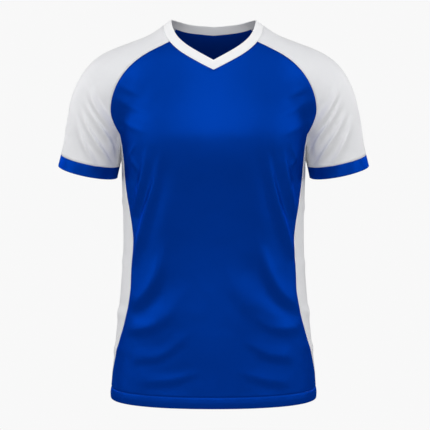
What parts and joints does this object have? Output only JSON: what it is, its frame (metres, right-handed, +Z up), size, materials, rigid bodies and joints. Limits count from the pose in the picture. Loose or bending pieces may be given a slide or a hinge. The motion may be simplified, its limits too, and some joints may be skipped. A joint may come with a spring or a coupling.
{
  "type": "volleyball jersey",
  "caption": "Hollow short-sleeved V-neck sports jersey with raglan sleeves, side panels, cuffs and a turned hem, filled out as when worn.",
  "frame": {"origin": "middle of the neck opening at the height of the shoulder points, where the wearer's shoulders hold the jersey up", "axes": "+Z up, -Y out of the front, +X towards the wearer's left"},
  "size_m": [0.5736, 0.2508, 0.7008],
  "materials": {
    "blue_knit": "satin polyester knit",
    "white_knit": "satin polyester knit",
    "white_rib": "matt rib knit"
  },
  "bodies": {
    "root": {"front": "blue_knit", "back": "blue_knit", "side_left": "white_knit", "side_right": "white_knit", "sleeve_left": "white_knit", "sleeve_right": "white_knit", "cuff_left": "blue_knit", "cuff_right": "blue_knit", "collar": "white_rib"}
  },
  "joints": []
}
